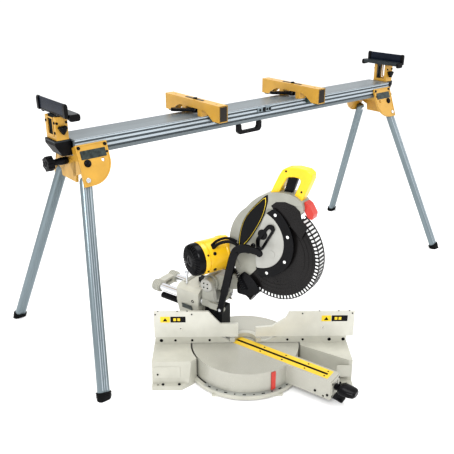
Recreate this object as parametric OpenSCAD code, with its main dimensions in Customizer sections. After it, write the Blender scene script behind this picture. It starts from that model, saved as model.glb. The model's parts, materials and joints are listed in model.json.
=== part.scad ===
// Sliding compound mitre saw standing on the floor in front of its long folding stand.
// Frame: X along the stand's beam, +Y to the back, Z up, floor at z = 0. Millimetres.

/* [Stand] */
// Half length of the beam
beam_half = 838; // [800:1:880]
// Half width of the beam
beam_y = 61; // [60:0.5:62]
// Height of the beam's top face
beam_top = 813; // [800:1:830]
// Depth of the beam section
beam_h = 59; // [54:1:64]
// Distance of each leg's hinge pin from the stand's middle
pin_x = 823; // [810:1:830]
// Distance of each hinge pin's outer end from the beam's centre plane
pin_y = 108; // [107:0.5:110]
// Height of the hinge pins
pin_z = 681; // [670:1:690]
// Lean of the leg plates out from vertical, in degrees
plate_tilt = 21.3; // [21:0.1:21.5]
// Lean of each leg towards the beam's end, in degrees
leg_splay = 10.6; // [9:0.1:12]
// Length of a leg from its hinge pin to the floor
leg_len = 742; // [730:1:760]
// Width of a leg's oval tube
leg_w = 44; // [40:1:48]
// Thickness of a leg's oval tube
leg_t = 26; // [22:1:28]

/* [Work supports and saw brackets] */
// Middle of the work support along the beam
support_x = 866; // [862:1:870]
// Half length of the work support's top
support_half = 98; // [90:1:110]
// Height of the work support's top face
support_top = 908; // [904:1:914]
// Place of the left saw bracket along the beam
left_bracket_x = -289; // [-330:1:-250]
// Place of the right saw bracket along the beam
right_bracket_x = 239; // [200:1:280]
// Half length of a saw bracket
bracket_half = 172; // [165:1:180]
// Height of a saw bracket's top face
bracket_top = 870; // [866:1:880]
// Width of a saw bracket's channel
bracket_w = 40; // [36:1:46]

/* [Saw placement] */
// Turntable pivot along the beam, from the stand's middle
saw_x = -467; // [-480:1:-455]
// Turntable pivot in front of the stand's middle
saw_y = -510; // [-525:1:-495]
// Turn of the saw's fence against the beam, in degrees
saw_yaw = -38.7; // [-42:0.1:-36]
// Mitre angle the arm is set to, to the saw's right
mitre = 54; // [50:0.5:56]

/* [Saw base] */
// Reach of the base to the left of the pivot
base_left = 325; // [320:1:330]
// Reach of the base to the right of the pivot
base_right = 364; // [358:1:370]
// Height of the table
table_z = 97; // [92:1:100]
// Radius of the turntable
turntable_r = 190; // [186:1:192]
// Outer radius of the mitre scale ring
scale_r = 206; // [203:1:210]
// Length of the arm from the pivot
arm_len = 356; // [350:1:362]
// Height where the sliding fences begin
fence_split = 123; // [121:1:126]
// Height of the sliding fences' top edge
fence_top = 226; // [222:1:230]

/* [Saw head] */
// Height of the slide rails
rail_z = 240; // [238:1:242]
// Half spacing of the slide rails
rail_n = 45; // [44:1:46]
// Radius of the slide rails
rail_r = 14; // [12:0.5:15]
// Forward place of the chop pivot
chop_a = -125; // [-127:1:-123]
// Height of the chop pivot
chop_z = 318; // [316:1:320]
// Forward place of the blade's axis
blade_a = 118; // [114:1:120]
// Height of the blade's axis
blade_z = 492; // [488:1:496]
// Radius of the blade
blade_r = 152.5; // [150:0.5:152.5]

/* [Hidden] */
$fn = 48;
// The whole footprint is centred on the origin by this shift towards the back.
front_shift = 281;
running_gap = 0.05;
beam_bottom = beam_top - beam_h;
leg_mid = 8.5 + leg_t / 2;
plate_t = 8;
bevel_z = table_z;
plate_up = 121;
plate_down = 21;
plate_in = 101;
plate_out = 17;
plate_round = 84;
leg_pin_r = 6;
foot_h = 30;
shaft_z = 731;
yoke_z = 813;
knob_z = 850;
lever_turn = 135;
fence_t = 9;
guard_out = 172;
guard_in = 166;
lower_guard_r = 163;
guard_half = 24;
guard_from = 62;
guard_to = 230;
arbor_r = 12;
guard_hub_r = 50;
chop_pin_r = 11;
link_a = -60;
link_z = 246;
link_pin_r = 5;
link_elbow = [14, 482];
link_end = [95, 503];
motor_turn = 22;
motor_r = 56;
motor_a = -116;
motor_z = 427;
yellow = "#e9b52c";
cream = "#c9c7ba";
dark = "#26272a";
silver = "#b9bdc2";

// ---------- frames and shared shapes ----------

module on_stand() translate([0, front_shift, 0]) children();

// side: -1 is the left end of the stand, 1 is the right end.
module at_end(side) on_stand() mirror([side < 0 ? 1 : 0, 0, 0]) children();

// A leg plate's frame at its hinge pin: +x outward, +y into the housing, +z up the plate.
module at_plate(side, face) {
    at_end(side) mirror([0, face > 0 ? 1 : 0, 0])
        translate([pin_x, -pin_y, pin_z]) rotate([-plate_tilt, 0, 0]) children();
}

module in_saw() on_stand() translate([saw_x, saw_y, 0]) rotate([0, 0, saw_yaw]) children();

// The arm's frame: x to the operator's right of the blade, -y forward along the arm.
module in_arm() in_saw() rotate([0, 0, mitre]) children();

// Extrudes an outline drawn in (forward, up) from x = n0 to x = n1.
module side_on(n0, n1) translate([n1, 0, 0]) rotate([90, 0, -90]) linear_extrude(n1 - n0) children();

// Extrudes an outline drawn in (x, up) from y = y0 to y = y1.
module front_on(y0, y1) translate([0, y1, 0]) rotate([90, 0, 0]) linear_extrude(y1 - y0) children();

function arc(c, r, a0, a1, steps = 12) =
    [for (i = [0 : steps]) c + r * [cos(a0 + (a1 - a0) * i / steps), sin(a0 + (a1 - a0) * i / steps)]];

function left_of(v) = [-v[1], v[0]] / norm(v);

// A flat bar from a to c with a mitred corner at b.
module bent_bar(a, b, c, w) {
    n1 = left_of(b - a);
    n2 = left_of(c - b);
    corner = (n1 + n2) / (1 + n1 * n2);
    polygon([a - n1 * w / 2, b - corner * w / 2, c - n2 * w / 2, c + n2 * w / 2, b + corner * w / 2, a + n1 * w / 2]);
}

module oval(w, t) {
    square([w - t, t], center = true);
    for (s = [-1, 1]) translate([s * (w - t) / 2, 0]) circle(d = t);
}

module bar(from, to, w) {
    d = to - from;
    translate(from) rotate(atan2(d[1], d[0])) translate([0, -w / 2]) square([norm(d), w]);
    translate(from) circle(d = w);
    translate(to) circle(d = w);
}

// A sector of a ring between two angles.
module ring_sector(r0, r1, a0, a1) {
    intersection() {
        difference() {
            circle(r = r1, $fn = 96);
            if (r0 > 0) circle(r = r0, $fn = 96);
        }
        polygon(concat([[0, 0]], arc([0, 0], 2 * r1, a0, a1, 8)));
    }
}

// A lobed hand knob about z, with its face at z = h.
module lobed_knob(r, h, lobes = 6) {
    cylinder(r = r * 0.72, h = h);
    for (i = [0 : lobes - 1]) rotate(i * 360 / lobes) translate([r * 0.7, 0, 0]) cylinder(r = r * 0.3, h = h);
}

// ---------- stand ----------

module beam_outline() {
    difference() {
        translate([-beam_y, beam_bottom]) square([2 * beam_y, beam_h]);
        for (s = [-1, 1], z = [10, 29, 43]) translate([s * beam_y, beam_bottom + z]) square([8, 9], center = true);
        translate([-beam_y + 12, beam_bottom + 5]) square([2 * beam_y - 24, beam_h - 10]);
    }
}

module beam() {
    color(silver) on_stand() rotate([90, 0, 90]) translate([0, 0, -beam_half])
        linear_extrude(2 * beam_half) beam_outline();
}

module plate_outline() {
    polygon(concat([[plate_out, -plate_down], [plate_out, plate_up], [-plate_in, plate_up]],
                   arc([plate_round - plate_in, plate_round - plate_down], plate_round, 180, 270)));
}

module leg_plate() {
    difference() {
        front_on(0, plate_t) plate_outline();
        rotate([-90, 0, 0]) translate([0, 0, -1]) cylinder(r = leg_pin_r, h = plate_t + 2);
        rotate([-90, 0, 0]) translate([-74, -60, -1]) cylinder(r = 7, h = plate_t + 2);
    }
}

// One end casting: two leaning leg plates, an end web between them and a saddle under the beam.
module housing(side) {
    saddle_z = beam_bottom - 16;
    saddle_half = 78;
    web_t = 9;
    difference() {
        union() {
            for (face = [-1, 1]) at_plate(side, face) leg_plate();
            at_end(side) translate([pin_x - plate_in + 14, -saddle_half, saddle_z])
                cube([plate_in, 2 * saddle_half, 16]);
            at_end(side) translate([pin_x + plate_out - web_t, 0, 0]) rotate([90, 0, 90]) linear_extrude(web_t)
                polygon([[-52, 664], [52, 664], [62, saddle_z + 1], [-62, saddle_z + 1]]);
        }
        at_end(side) translate([0, -beam_y, beam_bottom]) cube([beam_half, 2 * beam_y, beam_h]);
        at_end(side) translate([pin_x, 0, shaft_z]) rotate([0, 90, 0]) cylinder(r = 9 + running_gap, h = 40);
    }
}

module left_housing() color(yellow) housing(-1);
module right_housing() color(yellow) housing(1);

module housing_bolts() {
    color(dark) for (side = [-1, 1], face = [-1, 1]) at_plate(side, face) {
        for (p = [[6, 110], [-94, 110]]) translate([p[0], -3, p[1]]) rotate([-90, 0, 0]) cylinder(r = 5, h = 3);
        translate([-13, -5, 56]) rotate([-90, 0, 0]) cylinder(r = 10, h = 5);
        translate([-94, -3, 84]) rotate([-90, 0, 0]) cylinder(r = 4, h = 3);
    }
}

module leg_pins() {
    color(silver) for (side = [-1, 1], face = [-1, 1]) at_plate(side, face) {
        translate([0, -3, 0]) rotate([-90, 0, 0]) cylinder(r = 8, h = 3);
        rotate([-90, 0, 0]) cylinder(r = leg_pin_r, h = leg_mid + leg_t / 2 + 2);
        translate([0, leg_mid + leg_t / 2 + 1, 0]) rotate([-90, 0, 0]) cylinder(r = 8, h = 3);
    }
}

// The leg's own frame: origin on its hinge axis, +z up the leg.
module at_leg(side, face) at_plate(side, face) rotate([0, -leg_splay, 0]) translate([0, leg_mid, 0]) children();

module above_floor() {
    difference() {
        children();
        translate([-2000, -2000, -400]) cube([4000, 4000, 400]);
    }
}

module leg(side, face) {
    color(silver) at_leg(side, face) difference() {
        union() {
            translate([0, 0, -leg_len + foot_h]) linear_extrude(leg_len - foot_h) oval(leg_w, leg_t);
            translate([0, -leg_t / 2, 0]) rotate([-90, 0, 0]) cylinder(d = leg_w - 4, h = leg_t);
        }
        translate([0, 0, -leg_len]) linear_extrude(leg_len - 30) oval(leg_w - 6, leg_t - 6);
        rotate([-90, 0, 0]) translate([0, 0, -leg_t]) cylinder(r = leg_pin_r + running_gap, h = 2 * leg_t);
    }
}

module front_left_leg() leg(-1, -1);
module rear_left_leg() leg(-1, 1);
module front_right_leg() leg(1, -1);
module rear_right_leg() leg(1, 1);

module foot(side, face) {
    color(dark) above_floor() at_leg(side, face) {
        translate([0, 0, -leg_len - 30]) linear_extrude(foot_h + 30) oval(leg_w + 5, leg_t + 5);
    }
}

module front_left_foot() foot(-1, -1);
module rear_left_foot() foot(-1, 1);
module front_right_foot() foot(1, -1);
module rear_right_foot() foot(1, 1);

module carry_handle() {
    color(dark) on_stand() translate([-125, 0, 0]) {
        front_on(-62, -46) difference() {
            translate([0, 712]) square([130, beam_bottom - 712]);
            translate([16, 724]) square([98, 60]);
        }
    }
}

// ---------- work supports ----------

// Sliding arm inside the beam with the wedge block that carries the yoke.
module extension(side) {
    block_z = 758;
    color(dark) at_end(side) {
        translate([beam_half - 420, -34, beam_bottom + 6]) cube([421, 68, 22]);
        front_on(-37, 37) polygon([[beam_half + 0.6, block_z], [beam_half + 34, block_z],
                                   [beam_half + 58, 796], [beam_half + 58, yoke_z], [beam_half + 0.6, yoke_z]]);
    }
}

module left_extension() extension(-1);
module right_extension() extension(1);

// Yellow yoke: a box with one window through it, open at the top.
module yoke(side) {
    w = 44;
    half = 37;
    color(yellow) at_end(side) translate([support_x - w / 2, 0, yoke_z]) difference() {
        translate([0, -half, 0]) cube([w, 2 * half, 78]);
        translate([-1, -half + 13, 12]) cube([w + 2, 2 * half - 26, 80]);
        translate([6, -half + 4, 6]) cube([w - 12, 2 * half - 8, 90]);
        translate([w / 2, -60, knob_z - yoke_z]) rotate([-90, 0, 0]) cylinder(r = 4.6 + running_gap, h = 60);
    }
}

module left_yoke() yoke(-1);
module right_yoke() yoke(1);

// The carrier that rises in the yoke, with its flat top and rounded ends.
module support_top_piece(side) {
    color("#55585c") at_end(side) difference() {
        union() {
            translate([support_x - 34, -support_half, support_top - 14]) cube([40, 2 * support_half, 14]);
            for (s = [-1, 1]) translate([support_x - 14, s * 28.5 - 4, 822]) cube([28, 8, support_top - 830]);
            for (s = [-1, 1]) translate([support_x - 22, s * support_half + (s < 0 ? -8 : 0), support_top - 10])
                rotate([-90, 0, 0]) cylinder(r = 10, h = 8);
        }
        for (s = [-1, 1]) translate([support_x - 5, s * 28.5 - 6, 828]) cube([10, 12, 50]);
        translate([support_x - 28, -support_half + 8, support_top - 11]) cube([28, 2 * support_half - 16, 6]);
        translate([support_x + 6, -support_half, support_top - 15]) cube([10, 2 * support_half, 16]);
    }
}

module left_support_top() support_top_piece(-1);
module right_support_top() support_top_piece(1);

stop_x = support_x + 10;
stop_z = support_top - 7;

module stop_plate(side) {
    color("#1d2a3a") at_end(side) translate([stop_x, 0, stop_z]) {
        translate([-2.5, -support_half - 2, 2]) cube([5, 2 * support_half + 4, 40]);
        translate([0, -support_half - 2, 0]) rotate([-90, 0, 0]) cylinder(r = 3.6, h = 2 * support_half + 4);
    }
}

module left_stop_plate() stop_plate(-1);
module right_stop_plate() stop_plate(1);

module height_knob(side) {
    color(dark) at_end(side) translate([support_x, -37.3, knob_z]) rotate([90, 0, 0]) {
        lobed_knob(16, 16, 4);
        translate([0, 0, -4]) cylinder(r = 4.6, h = 5);
    }
}

module left_height_knob() height_knob(-1);
module right_height_knob() height_knob(1);

module extension_knob(side) {
    color(dark) at_end(side) translate([pin_x + plate_out - 12, 0, shaft_z]) rotate([0, 90, 0]) {
        cylinder(r = 9, h = 70);
        translate([0, 0, 68]) lobed_knob(26, 24, 6);
    }
}

module left_extension_knob() extension_knob(-1);
module right_extension_knob() extension_knob(1);

// ---------- saw brackets ----------

module bracket_outline() {
    deep = 62;
    thin = 30;
    half = bracket_half;
    polygon([[-half, bracket_top - deep], [-half + 40, bracket_top - deep], [-half + 74, bracket_top - thin - 8],
             [-half + 96, bracket_top - thin], [half - 96, bracket_top - thin], [half - 74, bracket_top - thin - 8],
             [half - 40, bracket_top - deep], [half, bracket_top - deep], [half, bracket_top], [-half, bracket_top]]);
}

// Inverted channel across the beam, with two saddle blocks that ride on its top.
module bracket(x) {
    wall = 3;
    color(yellow) on_stand() translate([x, 0, 0]) difference() {
        union() {
            difference() {
                translate([-bracket_w / 2, 0, 0]) rotate([90, 0, 90]) linear_extrude(bracket_w) bracket_outline();
                translate([-bracket_w / 2 + wall, -bracket_half - 1, bracket_top - 70])
                    cube([bracket_w - 2 * wall, 2 * bracket_half + 2, 66]);
            }
            for (s = [-1, 1]) translate([-bracket_w / 2 + 1, s * 50 - 12, beam_top + 0.3])
                cube([bracket_w - 2, 24, bracket_top - beam_top - 2]);
        }
        for (y = [-130, 130]) translate([0, y, bracket_top - 20]) cylinder(r = 4.5, h = 30);
        translate([0, 0, bracket_top - 20]) cylinder(r = 6 + running_gap, h = 30);
    }
}

module left_bracket() bracket(left_bracket_x);
module right_bracket() bracket(right_bracket_x);

// Clamp lever under the channel: it turns about a vertical screw.
module bracket_lever(x) {
    color(dark) on_stand() translate([x, 0, 0]) rotate(lever_turn) {
        translate([0, 0, 818]) cylinder(r = 13, h = 20);
        translate([0, 0, 837]) cylinder(r = 6, h = bracket_top - 837 + 3);
        translate([10, 0, 821]) linear_extrude(13) polygon([[0, -8], [84, -11], [88, -7], [88, 7], [84, 11], [0, 8]]);
    }
}

module left_bracket_lever() bracket_lever(left_bracket_x);
module right_bracket_lever() bracket_lever(right_bracket_x);

// ---------- saw base ----------

flange_t = 16;
pocket_r = turntable_r + 6;

module wing_profile(x0, x1) {
    translate([x0, 0, 0]) rotate([90, 0, 90]) linear_extrude(x1 - x0)
        polygon([[-113, table_z], [-120, 30], [-122, flange_t], [-141, flange_t], [-141, 0], [-100, 0], [-92, 12],
                 [38, 12], [44, 0], [70, 0], [70, flange_t], [52, flange_t], [46, table_z]]);
}

module saw_base() {
    cut_x = 168;
    slope = 1.62;
    color(cream) in_saw() difference() {
        union() {
            intersection() {
                wing_profile(-base_left, -150);
                translate([0, 0, -1]) linear_extrude(table_z + 2)
                    polygon([[-150, 80], [-150, -66], [-190, -113], [-224, -142], [-base_left, -142],
                             [-base_left, 80]]);
            }
            intersection() {
                wing_profile(130, base_right);
                translate([0, 0, -1]) linear_extrude(table_z + 2)
                    polygon([[cut_x, 0], [cut_x + slope * 113, -113], [base_right + 1, -113],
                             [base_right + 1, 80], [120, 80]]);
            }
            translate([base_right - 62, -141, 0]) cube([62, 90, flange_t]);
            translate([0, 0, 6]) cylinder(r = scale_r, h = 14, $fn = 96);
            translate([-200, 30, 6]) cube([400, 40, 14]);
            for (x = [-120, 60]) translate([x, -178, 0]) cube([60, 30, 8]);
            cylinder(r = 30, h = 22);
        }
        translate([0, 0, 20]) cylinder(r = pocket_r, h = table_z, $fn = 96);
        translate([0, 0, -1]) cylinder(r = 12 + running_gap, h = 40);
        for (x = [20 - base_left, base_right - 20], y = [-131.5, 61]) translate([x, y, -1]) cylinder(r = 4.5, h = 30);
        translate([-base_left + 12, -84, -1]) cube([100, 110, table_z - 7]);
        translate([base_right - 92, -50, -1]) cube([80, 76, table_z - 7]);
    }
}

module mitre_scale() {
    color("#a9aaa6") in_saw() translate([0, 0, 20]) difference() {
        linear_extrude(3) ring_sector(160, scale_r - 3, -136, -13);
        for (a = [-130 : 15 : -25]) rotate(a) translate([161, -2.5, -1]) cube([10, 5, 5]);
    }
}

// Fixed fence: one casting, joined by an arch behind the kerf.
module lower_fence() {
    foot_top = fence_split - 0.3;
    color(cream) in_saw() {
        front_on(0, 14) polygon([[4 - base_left, table_z], [-195, table_z], [-195, table_z + 1.5], [-50, table_z + 1.5],
                                 [-88, foot_top], [4 - base_left, foot_top]]);
        front_on(0, 14) polygon([[base_right - 4, table_z], [195, table_z], [195, table_z + 1.5], [64, table_z + 1.5],
                                 [112, foot_top], [base_right - 4, foot_top]]);
        translate([0, 0, table_z + 2]) linear_extrude(16) ring_sector(38, 55, 2, 178);
        translate([50, 1, table_z + 2]) cube([24, 10, 5]);
    }
}

module left_sliding_fence() {
    color("#d8d6cb") in_saw() difference() {
        union() {
            front_on(0, fence_t) polygon([[-324, fence_split], [-26, fence_split], [-26, 176], [-90, 176],
                                          [-131, fence_top], [-324, fence_top]]);
            translate([-318, fence_t - 1, 132]) cube([190, 8, 16]);
        }
        translate([-230, -1, 158]) rotate([-90, 0, 0]) cylinder(r = 3.5, h = 30);
    }
}

module right_sliding_fence() {
    color("#d8d6cb") in_saw() difference() {
        union() {
            front_on(0, fence_t) polygon([[385, fence_split], [36, fence_split], [36, 160], [92, 164], [142, 198],
                                          [153, fence_top - 3], [385, fence_top - 3]]);
            translate([150, fence_t - 1, 132]) cube([228, 8, 16]);
        }
        translate([275, -1, 158]) rotate([-90, 0, 0]) cylinder(r = 3.5, h = 30);
    }
}

// ---------- turntable ----------

bevel_slot_n = 46;
bevel_pin_r = 16;
lug_y = 125;
lug_end = 153;
column_y = 85;
kerf_end = 338;
lock_z = 62;
lock_pin_r = 7;
lever_a = 330;
lever_z = 30;
lever_pin_r = 4;

module turntable() {
    floor_gap = 23.5;
    arm_n = 31;
    color(cream) in_arm() difference() {
        union() {
            translate([0, 0, floor_gap]) cylinder(r = turntable_r, h = table_z - floor_gap, $fn = 96);
            translate([-arm_n, -arm_len, floor_gap]) cube([2 * arm_n, arm_len, table_z - floor_gap]);
            translate([0, 0, 2]) cylinder(r = 12, h = 30);
            translate([-44, lug_y, 60]) cube([88, lug_end - lug_y, 58]);
        }
        translate([0, 0, floor_gap - 1]) difference() {
            cylinder(r = turntable_r - 8, h = table_z - floor_gap - 12, $fn = 96);
            cylinder(r = 26, h = 80);
            translate([-60, 64, 0]) cube([120, 121, 80]);
        }
        translate([-24, -kerf_end, table_z - 4]) cube([48, kerf_end + 52, 10]);
        translate([-16, -kerf_end + 8, table_z - 18]) cube([32, kerf_end + 36, 20]);
        translate([-arm_n + 7, -arm_len + 8, floor_gap - 1]) cube([2 * arm_n - 14, 130, table_z - floor_gap - 24]);
        translate([-bevel_slot_n, column_y - 2, 60]) cube([2 * bevel_slot_n, lug_y - column_y + 2, 60]);
        translate([0, column_y - 15, bevel_z]) rotate([-90, 0, 0]) cylinder(r = bevel_pin_r, h = 100);
        translate([0, -arm_len - 1, lock_z]) rotate([-90, 0, 0]) cylinder(r = lock_pin_r + running_gap, h = 10);
        translate([-18, -arm_len - 1, floor_gap - 1]) cube([36, 12, 24]);
        translate([-arm_n - 1, -lever_a, lever_z]) rotate([0, 90, 0])
            cylinder(r = lever_pin_r + running_gap, h = 2 * arm_n + 2);
    }
}

module kerf_plates() {
    slot = 10;
    color("#f2cf1d") in_arm() difference() {
        translate([-24, -kerf_end, table_z - 4]) cube([48, kerf_end + 52, 4.3]);
        translate([-slot / 2, -kerf_end + 10, table_z - 5]) cube([slot, kerf_end + 30, 8]);
    }
}

// Red pointer on the turntable's rim, to the left of the arm.
module mitre_pointer() {
    color("#d8381f") in_arm() rotate(-27) translate([-8, -turntable_r - 4, 24]) cube([16, 4, 68]);
}

module mitre_lock_handle() {
    color(dark) in_arm() translate([0, -arm_len - 0.4, lock_z]) rotate([90, 0, 0]) {
        cylinder(r = 10, h = 22);
        translate([0, 0, 18]) linear_extrude(52) oval(54, 26);
        translate([0, 0, -7]) cylinder(r = lock_pin_r, h = 8);
    }
}

module detent_lever() {
    color(dark) in_arm() {
        side_on(-14, 14) {
            translate([lever_a, lever_z]) circle(r = 9);
            polygon([[lever_a + 6, lever_z + 6], [lever_a + 62, lever_z - 8], [lever_a + 62, lever_z - 14],
                     [lever_a + 4, lever_z - 8]]);
        }
        side_on(-27, 27) translate([lever_a, lever_z]) circle(r = lever_pin_r);
    }
}

// ---------- bevelling parts ----------

module bevel_quadrant() {
    color(yellow) in_arm() front_on(lug_end, lug_end + 4.5) translate([0, bevel_z]) {
        ring_sector(52, 84, 128, 164);
        rotate(149) translate([20, -10]) square([36, 20]);
    }
}

module bevel_pin() {
    color(silver) in_arm() translate([0, column_y - 15, bevel_z]) rotate([-90, 0, 0])
        cylinder(r = bevel_pin_r, h = lug_end - column_y + 14);
}

// Black bevel arm: a hub on the bevel pin and a neck that carries the carriage.
module bevel_column() {
    color(dark) in_arm() difference() {
        union() {
            translate([0, column_y, bevel_z]) rotate([-90, 0, 0]) cylinder(r = 32, h = lug_y - column_y - 0.5);
            translate([-26, column_y, bevel_z]) cube([52, lug_y - column_y - 0.5, 122]);
            translate([-26, lug_y - 1, 150]) cube([52, carriage_y - lug_y + 1, 69]);
        }
        translate([0, column_y - 1, bevel_z]) rotate([-90, 0, 0]) cylinder(r = bevel_pin_r + running_gap, h = 60);
    }
}

carriage_y = 159;
carriage_depth = 98;
rod_r = 4;

module carriage() {
    color(cream) in_arm() difference() {
        front_on(carriage_y, carriage_y + carriage_depth)
            polygon([[-66, 222], [-50, 158], [50, 158], [66, 222], [66, 272], [50, 284], [-50, 284], [-66, 272]]);
        for (s = [-1, 1]) translate([s * rail_n, carriage_y - 1, rail_z]) rotate([-90, 0, 0])
            cylinder(r = rail_r + running_gap, h = carriage_depth + 2);
        translate([-22, carriage_y + 10, 150]) cube([44, carriage_depth - 20, 100]);
        translate([8, carriage_y + 30, 240]) cylinder(r = 6 + running_gap, h = 60);
        translate([-40, carriage_y + 70, 264]) cylinder(r = rod_r + running_gap, h = 60);
    }
    color(cream) in_arm() translate([-rail_n, carriage_y + carriage_depth - 1, rail_z - 34]) rotate([-90, 0, 0])
        cylinder(r = 11, h = cap_y - carriage_y - carriage_depth - 4);
}

module slide_lock_knob() {
    color(dark) in_arm() translate([8, carriage_y + 30, 261]) {
        cylinder(r = 6, h = 30);
        translate([0, 0, 25]) lobed_knob(19, 15, 6);
    }
}

module depth_rod() {
    color(silver) in_arm() translate([-40, carriage_y + 70, 264]) {
        cylinder(r = rod_r, h = 66);
        translate([0, 0, 62]) cylinder(r = 2 * rod_r, h = 6);
    }
}

// ---------- parts that slide on the rails ----------

module slide_rails() {
    color("#d5d8da") in_arm() for (s = [-1, 1]) translate([s * rail_n, 98, rail_z])
        rotate([-90, 0, 0]) cylinder(r = rail_r, h = cap_y - 98);
}

// Cap across both rails' rear ends.
module rail_end_cap() {
    color(cream) in_arm() front_on(cap_y, cap_y + 30) difference() {
        union() {
            translate([0, rail_z]) square([104, 30], center = true);
            for (s = [-1, 1]) translate([s * rail_n, rail_z]) circle(r = 21);
        }
        translate([0, rail_z]) square([40, 14], center = true);
    }
}

cap_y = 347;
cheek_out = 58;
cheek_in = 40;

module pivot_bracket() {
    color(cream) in_arm() difference() {
        union() {
            translate([-60, 95, 232]) cube([120, 52, 26]);
            for (s = [-1, 1]) side_on(s < 0 ? -cheek_out : cheek_in, s < 0 ? -cheek_in : cheek_out) {
                polygon([[-147, 254], [-95, 254], [chop_a + 22, chop_z], [chop_a - 20, chop_z]]);
                translate([chop_a, chop_z]) circle(r = 24);
            }
            side_on(-66, -57) bar([link_a, link_z], [link_a - 46, link_z], 24);
        }
        for (s = [-1, 1]) translate([s * rail_n, 98, rail_z]) rotate([-90, 0, 0]) cylinder(r = rail_r, h = 60);
        translate([-90, -chop_a, chop_z]) rotate([0, 90, 0]) cylinder(r = chop_pin_r, h = 180);
        translate([-90, -link_a, link_z]) rotate([0, 90, 0]) cylinder(r = link_pin_r + running_gap, h = 29);
    }
}

module chop_pin() {
    color(silver) in_arm() translate([-66, -chop_a, chop_z]) rotate([0, 90, 0]) {
        cylinder(r = chop_pin_r, h = 132);
        cylinder(r = 16, h = 66 - cheek_out);
        translate([0, 0, 66 + cheek_out]) cylinder(r = 16, h = 66 - cheek_out);
    }
}

// ---------- head ----------

// Upper guard outline: a round segment from guard_from to guard_to.
module guard_segment(r) ring_sector(0, r, guard_from, guard_to);

module head_casting() {
    hub_n = 38;
    color(cream) in_arm() difference() {
        union() {
            side_on(-guard_half, guard_half) translate([blade_a, blade_z]) guard_segment(guard_out);
            side_on(-guard_half, -guard_half + 4) translate([blade_a, blade_z]) circle(r = 62);
            side_on(-hub_n, hub_n) translate([chop_a, chop_z]) circle(r = 30);
            side_on(-29, 29) polygon([[chop_a - 22, chop_z + 16], [chop_a + 24, chop_z - 24], [24, 336], [44, 366],
                                      [0, 384]]);
        }
        side_on(-20, 20) translate([blade_a, blade_z]) difference() {
            circle(r = guard_in, $fn = 96);
            circle(r = guard_hub_r);
        }
        side_on(-14, 60) translate([blade_a, blade_z]) circle(r = guard_hub_r + 1);
        translate([-90, -chop_a, chop_z]) rotate([0, 90, 0]) cylinder(r = chop_pin_r + running_gap, h = 180);
        translate([-40, -blade_a, blade_z]) rotate([0, 90, 0]) cylinder(r = arbor_r + running_gap, h = 80);
    }
}

// Cover over the arbor and its bearing, on the outside of the guard.
module arbor_cover() {
    color("#dddcd6") in_arm() side_on(-31, -24) translate([blade_a, blade_z]) difference() {
        circle(r = 84);
        circle(r = arbor_r + running_gap);
    }
}

module along_motor() {
    in_arm() translate([-30, -motor_a, motor_z]) rotate([0, 0, -motor_turn]) rotate([0, -90, 0]) children();
}

module motor_body() {
    color(yellow) difference() {
        along_motor() {
            translate([0, 0, -54]) cylinder(r = motor_r + 2, h = 98);
            translate([0, 0, 40]) cylinder(r = motor_r, h = 22);
        }
        in_arm() side_on(-guard_half, 80) translate([blade_a, blade_z]) circle(r = guard_out, $fn = 96);
    }
}

module motor_cap() {
    color(dark) along_motor() {
        translate([0, 0, 62]) cylinder(r = motor_r + 1, h = 20);
        translate([0, 0, 82]) cylinder(r1 = motor_r + 1, r2 = motor_r - 16, h = 14);
    }
}

function handle_points() = [[80, 650], [124, 762], [142, 778], [222, 784], [236, 770], [192, 640]];
function handle_hole() = [[116, 682], [146, 750], [200, 754], [176, 684]];

module top_handle() {
    color("#f0cc1a") in_arm() difference() {
        side_on(-17, 17) difference() {
            polygon(handle_points());
            polygon(handle_hole());
        }
        side_on(-guard_half - 1, guard_half + 1) translate([blade_a, blade_z]) circle(r = guard_out, $fn = 96);
        side_on(-8.2, 8.2) polygon([[150, 738], [150, 762], [182, 764], [182, 738]]);
    }
}

module trigger() {
    color(dark) in_arm() side_on(-7.6, 7.6) polygon([[138, 692], [152, 691], [171, 750], [171, 760], [153, 758],
                                                    [153, 742]]);
}

module lower_guard() {
    span_from = guard_to - 4;
    span_to = guard_from + 360 - 4;
    color("#3a3b3d") in_arm() {
        side_on(-19, -16) translate([blade_a, blade_z]) {
            difference() {
                circle(r = 108, $fn = 96);
                circle(r = guard_hub_r + running_gap);
            }
            ring_sector(100, lower_guard_r, span_from, span_to);
        }
        side_on(16, 19) translate([blade_a, blade_z]) ring_sector(100, lower_guard_r, span_from, span_to);
        side_on(-18, 18) translate([blade_a, blade_z]) ring_sector(158, lower_guard_r, span_from, span_to);
    }
}

module guard_link() {
    color(dark) in_arm() {
        side_on(-74, -67) {
            bent_bar([link_a, link_z], link_elbow, link_end, 17);
            for (p = [[link_a, link_z], link_end]) translate(p) circle(r = 12);
        }
        side_on(-70, -62) translate([link_a, link_z]) circle(r = link_pin_r);
    }
}

module blade() {
    teeth = 32;
    color("#c8cbcd") in_arm() side_on(-1.3, 1.3) translate([blade_a, blade_z]) difference() {
        circle(r = blade_r, $fn = 96);
        circle(r = arbor_r + running_gap);
        for (i = [0 : teeth - 1]) rotate(i * 360 / teeth) translate([blade_r - 6, 0])
            polygon([[0, 0], [12, 0], [12, 9], [2, 4]]);
    }
}

module arbor_bolt() {
    color(silver) in_arm() translate([0, -blade_a, blade_z]) rotate([0, 90, 0]) {
        translate([0, 0, -34]) cylinder(r = arbor_r, h = 50);
        translate([0, 0, 1.4]) cylinder(r = 26, h = 6);
        translate([0, 0, -8]) cylinder(r = 26, h = 6.65);
        translate([0, 0, 14]) cylinder(r = 9, h = 8, $fn = 6);
    }
}

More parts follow.
